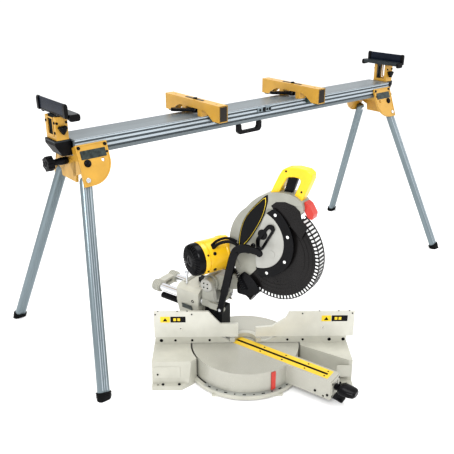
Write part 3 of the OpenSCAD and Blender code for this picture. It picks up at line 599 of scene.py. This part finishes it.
LABEL_LOW, LABEL_HIGH = 184, 207
for name, body, x0, x1, screws in (("left", "left_fence_body", -301, -212, (-318, -190)),
                                   ("right", "right_fence_body", 268, 360, (200, 376))):
    bm = new()
    prism(bm, xz(rounded(rect(x0 + 36, LABEL_LOW, x1, LABEL_HIGH), 2), 0.3), (0, -1.1, 0))
    piece(name + "_fence_label", bm, SAW, body, "gloss_black", 0.3)
    bm = new()
    prism(bm, xz(rounded(rect(x0, LABEL_LOW, x0 + 34, LABEL_HIGH), 2), 0.3), (0, -1.1, 0))
    for x in (x0 + 46, x0 + 60):
        prism(bm, xz(rect(x, 190, x + 10, 201), 0.3), (0, -1.6, 0))
    piece(name + "_fence_label_mark", bm, SAW, body, "label_yellow", 0.3)
    bm = new()
    prism(bm, xz([(x0 + 9, 189), (x0 + 25, 189), (x0 + 17, 202)], 0.0), (0, -1.5, 0))
    for sx in screws:
        screw(bm, (sx, 0, 216), (0, -1, 0), 2.6, 1.8)
    for sx in (x0 - 8, x0 + 60, x1 + 6):
        screw(bm, (sx, 4.5, 224.5 if name == "left" else 221.5), (0, 0, 1), 2.6, 3.0)
    piece(name + "_fence_screws", bm, SAW, body, "gloss_black", 0)

# Painted shade: thin dark sheets along both walls of the kerf slot.
bm = new()
for s in (-1, 1):
    box(bm, (s * 4.8 - 0.15, -326, 82), (s * 4.8 + 0.15, 36, 96.9))
piece("kerf_slot_painted_shade", bm, ARM, "turntable_body", "painted_shade_hollow", 0)
bm = new()
for s in (-1, 1):
    for a in (322, 248, 160, 72):
        screw(bm, (s * 14.5, -a, 97.2), (0, 0, 1), 3.0, 0.9)
piece("kerf_screws", bm, ARM, "turntable_body", "dark_steel", 0)
bm = new()
box(bm, (-8, -195.4, 28), (8, -193.5, 33))
piece("pointer_foot", bm, POINTER, "turntable_body", "red_plastic", 1.0)
bm = new()
for s in (-1, 1):
    for z in (36, 84):
        screw(bm, (s * 24, ARM_END_Y, z), (0, -1, 0), 4.6, 3)
for a in (345, 300):
    for s in (-1, 1):
        screw(bm, (s * 31, -a, 40), (s, 0, 0), 4.2, 3)
piece("arm_end_screws", bm, ARM, "turntable_body", "gloss_black", 0)
bm = new()
band(bm, xz(rounded(rect(-29, 28, 29, 92), 5), ARM_END_Y), xz(rounded(rect(-19, 48, 19, 80), 5), ARM_END_Y),
     (0, -2.2, 0))
piece("arm_end_frame", bm, ARM, "turntable_body", "cream_casting", 0.7)
bm = new()
for i in range(3):
    lathe(bm, [(1, 0), (10 + 2 * i, 0), (10 + 2 * i, 1)], (0, -358 - 6 * i, LOCK_Z), (0, -1, 0), 28)
lathe(bm, [(9, 0), (12, 3), (12, 8), (9, 12), (9, 18)], (0, -357, LOCK_Z), (0, -1, 0), 28)
grip = ((-370, 12, 8), (-374, 24, 13), (-382, 31, 16), (-398, 32, 16), (-414, 30, 15), (-428, 26, 13),
        (-434, 17, 8))
loft(bm, [[bm.verts.new((w * math.cos(u) * (1 - 0.12 * math.cos(2 * u)), y, LOCK_Z + t * math.sin(u)))
           for u in round_angles(28)] for y, w, t in grip])
ob = piece("lock_handle_grip", bm, ARM, "lock_handle_body", "gloss_black", 0)
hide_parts("mitre_lock_handle")
bm = new()
loop = rounded([(322, 26), (334, 22), (372, 19), (388, 15), (393, 18), (390, 24), (370, 28), (336, 38),
                (322, 38)], 3)
prism(bm, nz(loop, -14), (28, 0, 0))
lathe(bm, [(4, 0), (4, 54)], (-27, -330, 30), (1, 0, 0), 16)
ob = piece("detent_paddle", bm, ARM, "detent_lever_body", "gloss_black", 1.6, 3)
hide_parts("detent_lever")

# ---------- bevel post, carriage and rails ----------

bm = new()
CARRIAGE_Y = 159.0
loop = rounded([(-40, 176), (40, 176), (48, 212), (-48, 212)], 5)
band(bm, xz(loop, CARRIAGE_Y), [(x * 0.86, CARRIAGE_Y, 195 + (z - 195) * 0.8) for x, z in loop], (0, -1.6, 0))
for s in (-1, 1):
    outer, inner = [xz(circle_pts((s * RAIL_X, RAIL_Z), r, 32), CARRIAGE_Y) for r in (21.5, 15)]
    band(bm, outer, inner, (0, -2.4, 0))
piece("carriage_front_rims", bm, ARM, "bevel_arm_body", "head_cream", 0.6)
bm = new()
screw(bm, (-62, CARRIAGE_Y + 26, 236), (-1, 0, 0), 6.5, 4.5)
screw(bm, (-57, CARRIAGE_Y + 74, 200), (-1, 0, 0), 4.0, 5.5)
screw(bm, (0, CARRIAGE_Y, 262), (0, -1, 0), 5, 3)
piece("carriage_bolts", bm, ARM, "bevel_arm_body", "gloss_black", 0)
bm = new()
prism(bm, [(-67.6 + (222 - z) * 0.25, CARRIAGE_Y + y, z) for y, z in rect(30, 196, 76, 216)], (-0.9, 0, 0))
piece("carriage_label", bm, ARM, "bevel_arm_body", "label_dark", 0.5)
bm = new()
for y in (CARRIAGE_Y + 6, CARRIAGE_Y + 78):
    box(bm, (-34, y, 283), (34, y + 14, 286.5))
piece("carriage_ribs", bm, ARM, "bevel_arm_body", "head_cream", 1.2)
bm = new()
lathe(bm, [(11, 0), (11.5, 1), (11.5, 84), (10.5, 85)], (-45, 258, 206), (0, 1, 0), 28)
piece("stop_tube_sleeve", bm, ARM, "bevel_arm_body", "gloss_black", 0)
bm = new()
for s in (-1, 1):
    lathe(bm, [(13, 0), (13.6, 2), (13.6, 4), (9, 5), (8, 3)], (s * RAIL_X, 375, RAIL_Z), (0, 1, 0), 28)
    for i in range(4):
        lathe(bm, [(21.6, 0), (22, 1), (22, 3), (21.6, 4)], (s * RAIL_X, 348.5 + 7 * i, RAIL_Z), (0, 1, 0), 32)
piece("end_cap_ribs", bm, ARM, "slide_frame_body", "head_cream", 0)
bm = new()
for s in (-1, 1):
    for q in range(4):
        t = rad(45 + 90 * q)
        screw(bm, (s * 66.2, CHOP_Y + 11 * math.cos(t), CHOP_Z + 11 * math.sin(t)), (s, 0, 0), 2.6, 1.8)
piece("knuckle_screws", bm, ARM, "slide_frame_body", "gloss_black", 0)
bm = new()
for s in (-1, 1):
    lathe(bm, [(13.6, 0), (13.6, 11), (12.4, 12)], (s * RAIL_X, 95, RAIL_Z), (0, -1, 0), 32)
piece("rail_front_ends", bm, ARM, "slide_frame_body", "chrome", 0)
bm = new()
for s in (-1, 1):
    lathe(bm, [(23.8, 0), (23.8, 6), (20, 8.1), (17, 8.1)], (s * 58, CHOP_Y, CHOP_Z), (s, 0, 0), 36)
piece("knuckle_caps", bm, ARM, "slide_frame_body", "cover_cream", 0)

# ---------- motor ----------

bm = new()
lathe(bm, [(30, 62), (55, 62), (57, 64), (57, 78), (55, 84), (52, 88), (44, 93), (40, 95.5), (12, 96),
           (11, 94)],
      (0, 0, 0), (0, 0, 1), 60)
ob = piece("motor_end_bell", bm, MOTOR, "head_body", "gloss_black", 0)
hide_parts("motor_cap")
bm = new()
for i in range(30):
    d, e = spoke(2 * math.pi * i / 30)
    p0, p1, p2 = d * 22 + Vector((0, 0, 96)), d * 43 + Vector((0, 0, 94.2)), d * 54.4 + Vector((0, 0, 86.5))
    for a, b in ((p0, p1), (p1, p2)):
        prism(bm, [a + e * 1.3, b + e * 2.0, b - e * 2.0, a - e * 1.3], (0, 0, 2.0))
piece("motor_vent_fins", bm, MOTOR, "head_body", "black_plastic", 0)
bm = new()
lathe(bm, [(56, -20), (58, -16), (58, 36), (56.5, 40), (56.5, 44), (58.6, 46), (58.6, 58), (57, 62)],
      (0, 0, 0), (0, 0, 1), 60)
piece("motor_shell_bands", bm, MOTOR, "head_body", "saw_yellow", 0)
bm = new()
lathe(bm, [(50, -52), (57, -48), (60.5, -40), (60.5, -27), (57, -22)], (0, 0, 0), (0, 0, 1), 48)
piece("motor_gear_case", bm, MOTOR, "head_body", "saw_yellow", 0)
bm = new()
for t in (90, 150, 210, 270):
    d, _ = spoke(rad(t))
    lathe(bm, [(7.5, 0), (7.5, 2), (6, 3.5), (3, 3.5), (2.6, 2)], d * 60 + Vector((0, 0, -34)), d, 20)
piece("motor_gear_screws", bm, MOTOR, "head_body", "gloss_black", 0)
bm = new()
for t in (60, 120, 180, 240, 300):
    d, _ = spoke(rad(t))
    lathe(bm, [(6, 0), (6, 2.5), (4, 4), (2, 4), (1.5, 2.5)], d * 57.5 + Vector((0, 0, 26)), d, 18)
    lathe(bm, [(3.6, 0), (3.6, 2), (2.4, 3)], d * 58 + Vector((0, 0, 52)), d, 16)
piece("motor_screws", bm, MOTOR, "head_body", "gloss_black", 0)
bm = new()
tube(bm, smooth_path([(-66, 92, 470), (-62, 72, 490), (-50, 48, 500), (-40, 26, 498), (-31, 8, 484)]), 5.5)
tube(bm, smooth_path([(-56, 104, 474), (-50, 88, 492), (-38, 64, 504), (-34, 40, 506), (-30, 20, 500)]), 4.5)
lathe(bm, [(9, 0), (10, 2), (10, 12), (8, 14)], (-58, 92, 478), (0, 0.5, -0.4), 20)
piece("motor_lead_loop", bm, ARM, "head_body", "black_rubber", 0)

# ---------- upper guard ----------

# The blade's centre in the arm's plane, and the guard's outer face
C = (BLADE_A, BLADE_Z)
FACE, BAND_Z, LINK_X = -24.0, 531, -74.2
CROWN = [(10, 624), (26, 644), (54, 670), (88, 690), (126, 701), (164, 704), (192, 698), (212, 684), (220, 664)]
bm = new()
under = ring_pts(C, 171.0, 125, 60, 40)
over = flat_curve([(12, 626)] + CROWN + [(208, 642)], 4)
prism(bm, nz(over + list(reversed(under)), -24.5), (49, 0, 0))
piece("guard_crown", bm, ARM, "head_body", "head_cream", 5.0, 4, angle=50)
bm = new()
outline = ([(-47, 470), (-48, 505), (-40, 550), (-22, 590), (4, 618)] + over[8:-6]
           + [(150, 664), (118, 650), (96, 640), (60, 600), (30, 560), (10, 500), (-20, 462)])
prism(bm, nz(outline, FACE), (-2.4, 0, 0))
piece("guard_face", bm, ARM, "head_body", "head_cream", 1.8, 3)
LENS_OUT = [(-16, 470), (-15, 500), (-9, 540), (4, 580), (24, 614), (50, 646), (84, 682)]
LENS_IN = [(94, 688), (94, 662), (80, 612), (52, 556), (22, 508)]
bm = new()
lens = flat_curve(LENS_OUT, 5) + flat_curve(LENS_IN + [(-12, 468)], 5)
prism(bm, nz(lens, FACE - 2.4), (-1.6, 0, 0))
piece("guard_crescent", bm, ARM, "head_body", "gloss_black", 0.5)
bm = new()
trim_out, trim_in = [nz(scaled(lens, (30, 585), factor), FACE - 4.0) for factor in (0.90, 0.87)]
band(bm, trim_out, trim_in, (-0.5, 0, 0))
piece("guard_crescent_trim", bm, ARM, "head_body", "label_yellow", 0)
bm = new()
fair = ([(106, 654), (124, 670), (156, 677), (188, 672), (209, 656), (214, 640)] + ring_pts(C, 166, 52, 44, 4)
        + ring_pts(C, 122, 36, 78, 12))
prism(bm, nz(fair, FACE - 0.2), (-3.2, 0, 0))
piece("guard_front_fairing", bm, ARM, "head_body", "smoked_guard", 1.4, 3)
bm = new()
keep = ring_pts((64, BAND_Z), 132, -84, 64, 44)
keep_in = ring_pts((58, BAND_Z), 103, -90, 70, 44)
prism(bm, nz(keep + list(reversed(keep_in)), -29.0), (-4.6, 0, 0))
piece("guard_dark_band", bm, ARM, "head_body", "gloss_black", 1.4, 3)
bm = new()
for t in (56, 17, -27, -70):
    a, z = 61 + 118 * math.cos(rad(t)), BAND_Z + 118 * math.sin(rad(t))
    lathe(bm, [(5.2, 0), (5.2, 1.2), (3.6, 2.4), (0.8, 3.0)], (-33.4, -a, z), (-1, 0, 0), 24)
piece("guard_band_rivets", bm, ARM, "head_body", "clear_window", 0)
bm = new()
cover = ring_pts((58, BAND_Z), 102.5, -88, 70, 44) + [(84, 612), (70, 572), (60, 530), (56, 482), (58, 444)]
prism(bm, nz(cover, -24.3), (-8.6, 0, 0))
ob = piece("side_cover_plate", bm, ARM, "head_body", "cover_cream", 1.6, 3)
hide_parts("arbor_cover")
bm = new()
lathe(bm, [(17, 0), (17, 3), (15, 4.5), (9, 4.5), (8.4, 3), (3, 3)], (-32.6, -82, 552), (-1, 0, 0), 36)
lathe(bm, [(8, 0), (8, 5), (6.4, 6.5)], (-32.6, -48, 505), (-1, 0, 0), 24)
piece("cover_bolt_discs", bm, ARM, "head_body", "gloss_black", 0)
bm = new()
loop_out = rounded([(62, 498), (60, 534), (104, 594), (124, 594), (130, 580), (84, 496)], 9)
loop_in = rounded([(73, 508), (73, 530), (106, 578), (114, 580), (117, 574), (80, 506)], 5)
band(bm, nz(loop_out, -34), nz(loop_in, -34), (-5.5, 0, 0))
piece("guard_slot_lever", bm, ARM, "head_body", "gloss_black", 1.2)
bm = new()
bend = [(-60, 246), (-48, 296), (-34, 352), (-17, 424), (-6, 464), (8, 490), (32, 504), (62, 507), (94, 506)]
path = smooth_path(nz(bend, -70.5), 5)
rings = []
for i, p in enumerate(path):
    d = (path[min(i + 1, len(path) - 1)] - path[max(i - 1, 0)]).normalized()
    side = Vector((1, 0, 0))
    up = d.cross(side).normalized()
    w = 14.0 if 6 < i < len(path) - 6 else 11.5
    section = [(-3.6, -w), (3.6, -w), (3.6, w), (-3.6, w)]
    rings.append([bm.verts.new(p + side * a + up * b) for a, b in section])
loft(bm, rings)
for y, z, r in ((60, 246, 13.0), (-94, 503, 12.0)):
    lathe(bm, [(r, 0), (r, 6.5), (r * 0.8, 8.4)], (LINK_X, y, z), (1, 0, 0), 28)
lathe(bm, [(6, 0), (6, 1.5), (3, 2)], (LINK_X, -10, 480), (-1, 0, 0), 28)
ob = piece("guard_link_bar", bm, ARM, "guard_link_body", "gloss_black", 1.6, 3)
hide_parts("guard_link")
bm = new()
lathe(bm, [(6.4, 0), (6.4, 2), (4.6, 3.2)], (LINK_X, 60, 246), (-1, 0, 0), 6)
piece("guard_link_bolt", bm, ARM, "guard_link_body", "bright_steel", 0)
bm = new()
for t0, t1, r0, r1 in ((64, 112, 150, 170), (186, 214, 150, 171)):
    prism(bm, nz(sector(C, r1, r0, t0, t1, 18), FACE), (-3.0, 0, 0))
piece("guard_raised_rim", bm, ARM, "head_body", "head_cream", 1.0)
bm = new()
pts = rounded([(216, 688), (232, 680), (250, 652), (246, 632), (230, 636), (218, 656)], 5)
prism(bm, nz(pts, -15), (30, 0, 0))
piece("guard_red_tip", bm, ARM, "head_body", "red_plastic", 2.0, 3)
bm = new()
for n0 in (-29.5, 22.0):
    for pts in (((-100, 318), (-14, 372), (-8, 364), (-88, 306)),
                ((-116, 330), (-46, 380), (-40, 374), (-108, 324))):
        prism(bm, nz(pts, n0), (7.5, 0, 0))
piece("head_arm_ribs", bm, ARM, "head_body", "head_cream", 1.2)
bm = new()
tube(bm, smooth_path([(-6, 60, 372), (-6, 36, 352), (-4, 6, 322), (-2, -30, 300)]), 15, 18, 1.1)
tube(bm, smooth_path([(14, 50, 366), (15, 20, 330), (16, -16, 308)]), 8, 14)
lathe(bm, [(15, 0), (19, 3), (19, 8), (16, 10), (13, 9)], (-2, -26, 303), (0, -0.8, -0.45), 26)
piece("dust_duct", bm, ARM, "head_body", "gloss_black", 0)
bm = new()
pts = rounded([(-16, 308), (30, 310), (66, 328), (74, 346), (58, 370), (32, 390), (10, 398), (-8, 378),
               (-18, 344)], 8)
prism(bm, nz(pts, -27.2), (-4.2, 0, 0))
piece("neck_cover", bm, ARM, "head_body", "gloss_black", 1.4, 3)
bm = new()
TURNS, STEPS, COIL_R = 9, 10, 6
foot, axis = Vector((-36, 18, 392)), Vector((0, -36, -62))
coil = []
for i in range(TURNS * STEPS + 1):
    t = 2 * math.pi * i / STEPS
    around = Vector((math.cos(t), math.sin(t) * 0.86, -math.sin(t) * 0.5))
    coil.append(foot + axis * (i / (TURNS * STEPS)) + around * COIL_R)
tube(bm, coil, 1.5, 8)
piece("neck_spring", bm, ARM, "head_body", "dark_steel", 0)
bm = new()
lathe(bm, [(62, 0), (62, 3), (58, 6), (40, 7), (36, 10), (20, 11), (18, 9)], (24, -C[0], C[1]), (1, 0, 0), 48)
piece("right_side_cover", bm, ARM, "head_body", "cover_cream", 0)
bm = new()
for x, ring_r, r, angles in ((28.5, 50, 5, (45, 135, 225, 315)), (23.8, 150, 4.5, (70, 105, 140, 175))):
    for t in angles:
        a, z = C[0] + ring_r * math.cos(rad(t)), C[1] + ring_r * math.sin(rad(t))
        screw(bm, (x, -a, z), (1, 0, 0), r, 3)
piece("right_side_screws", bm, ARM, "head_body", "gloss_black", 0)
bm = new()
pts = rounded([(-8, 372), (40, 352), (66, 338), (64, 326), (34, 334), (-18, 352)], 4)
prism(bm, nz(pts, -26.5), (53, 0, 0))
piece("head_neck_shoulder", bm, ARM, "head_body", "gloss_black", 2.0, 3)

# ---------- top handle and trigger ----------

HANDLE_OUT = [(86, 664), (91, 680), (106, 716), (126, 758), (136, 774), (150, 783), (186, 790), (222, 788),
              (237, 778), (238, 762), (226, 730), (206, 682), (199, 656)]
HANDLE_HOLE = [(124, 690), (128, 700), (136, 718), (148, 742), (152, 750), (160, 754), (178, 757), (192, 757),
               (199, 752), (199, 744), (192, 726), (180, 698), (174, 688)]
bm = new()
band(bm, nz(HANDLE_OUT, -16.5), nz(HANDLE_HOLE, -16.5), (33, 0, 0))
ob = piece("handle_grip", bm, ARM, "head_body", "handle_yellow", 7.0, 5, angle=60)
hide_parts("top_handle")
bm = new()
for s in (-1, 1):
    for a, z in ((112, 690), (206, 716), (150, 772)):
        lathe(bm, [(3.4, 0), (3.4, 0.8), (1.6, 1.0)], (s * 16.4, -a, z), (s, 0, 0), 16)
piece("handle_screws", bm, ARM, "head_body", "gloss_black", 0)
bm = new()
pts = rounded([(98, 666), (196, 652), (208, 672), (180, 694), (110, 698)], 10)
prism(bm, nz(pts, -20), (40, 0, 0))
piece("handle_foot", bm, ARM, "head_body", "head_cream", 4.0, 3)
bm = new()
loop = rounded([(138, 694), (162, 693), (175, 718), (184, 746), (182, 756), (157, 757), (150, 738)], 5)
prism(bm, nz(loop, -7.4), (14.8, 0, 0))
ob = piece("trigger_moulding", bm, ARM, "trigger_body", "gloss_black", 2.0, 3)
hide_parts("trigger")

# ---------- lower guard ----------

A0, A1, ARC_STEPS = 226.0, 418.0, 64
SHELL_OUT, RIM_IN, RIM_OUT = 149.5, 148, 163
bm = new()
for n0, n1, r_in in ((-19, -16.6, 52), (16.6, 19, 101)):
    prism(bm, nz(sector(C, SHELL_OUT, r_in, A0, A1, ARC_STEPS), n0), (n1 - n0, 0, 0))
for r in (112, 126, 140):
    prism(bm, nz(sector(C, r + 1.0, r - 1.0, A0 + 1, A1 - 1, ARC_STEPS), -19), (-0.9, 0, 0))
ob = piece("guard_side_shells", bm, ARM, "lower_guard_body", "smoked_guard", 0)
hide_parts("lower_guard")
bm = new()
BARS = 40
step = (A1 - A0 - 8) / BARS
for i in range(BARS + 1):
    a = A0 + 4 + i * step
    prism(bm, nz(sector(C, RIM_OUT, RIM_IN, a - 1.0, a + 1.0, 2), -19), (38, 0, 0))
for n0 in (-19, 15.5):
    prism(bm, nz(sector(C, RIM_OUT, 160.5, A0, A1, ARC_STEPS), n0), (3.5, 0, 0))
piece("guard_rim_bars", bm, ARM, "lower_guard_body", "smoked_guard", 0)
bm = new()
prism(bm, nz(sector(C, RIM_OUT - 2, RIM_IN, A0 + 4, A1 - 4, ARC_STEPS), -17.6), (35.2, 0, 0))
piece("guard_rim_windows", bm, ARM, "lower_guard_body", "clear_window", 0)

# ---------- floor, light and camera ----------

bm = new()
FLOOR_HALF = 60000
prism(bm, [(x, y, 0) for x, y in rect(-FLOOR_HALF, -FLOOR_HALF, FLOOR_HALF, FLOOR_HALF)], (0, 0, -20))
me = bpy.data.meshes.new("floor")
bmesh.ops.transform(bm, matrix=MM, verts=bm.verts)
bmesh.ops.recalc_face_normals(bm, faces=bm.faces)
bm.to_mesh(me)
bm.free()
floor = bpy.data.objects.new("floor", me)
bpy.context.scene.collection.objects.link(floor)
me.materials.append(finish_of("floor_paper", (0.95, 0.95, 0.95), 0.9, 0.0, 0.01, 20, 0.02))

world = bpy.data.worlds.new("studio")
bpy.context.scene.world = world
world.use_nodes = True
sky = world.node_tree.nodes["Background"]
sky.inputs["Color"].default_value = (1, 1, 1, 1)
sky.inputs["Strength"].default_value = 0.95


def soft_light(name, at, target, size, power):
    """A square area light at a point, aimed at a target; metres and watts."""
    lamp = bpy.data.lights.new(name, "AREA")
    lamp.size = size
    lamp.energy = power
    ob = bpy.data.objects.new(name, lamp)
    ob.location = at
    ob.rotation_euler = (Vector(target) - Vector(at)).to_track_quat("-Z", "Y").to_euler()
    bpy.context.scene.collection.objects.link(ob)


MIDDLE = (0, 0, 0.5)
soft_light("key", (-3.2, -2.2, 3.2), MIDDLE, 1.6, 95)
soft_light("fill", (2.8, -2.6, 2.0), MIDDLE, 2.0, 24)
soft_light("top", (0, 0.4, 3.8), MIDDLE, 2.2, 60)

EYE, YAW, DOWN = (-1.765, -1.694, 1.367), rad(39.61), rad(22.74)
lens = bpy.data.cameras.new("camera")
lens.sensor_width = 36.0
lens.lens = 50.76
lens.clip_end = 200
camera = bpy.data.objects.new("camera", lens)
look = Vector((math.sin(YAW) * math.cos(DOWN), math.cos(YAW) * math.cos(DOWN), -math.sin(DOWN)))
right = Vector((math.cos(YAW), -math.sin(YAW), 0))
upward = right.cross(look)
camera.matrix_world = Matrix.Translation(EYE) @ Matrix((right, upward, -look)).transposed().to_4x4()
bpy.context.scene.collection.objects.link(camera)
bpy.context.scene.camera = camera
bpy.context.scene.view_settings.view_transform = "Standard"
bpy.context.scene.view_settings.look = "Medium High Contrast"
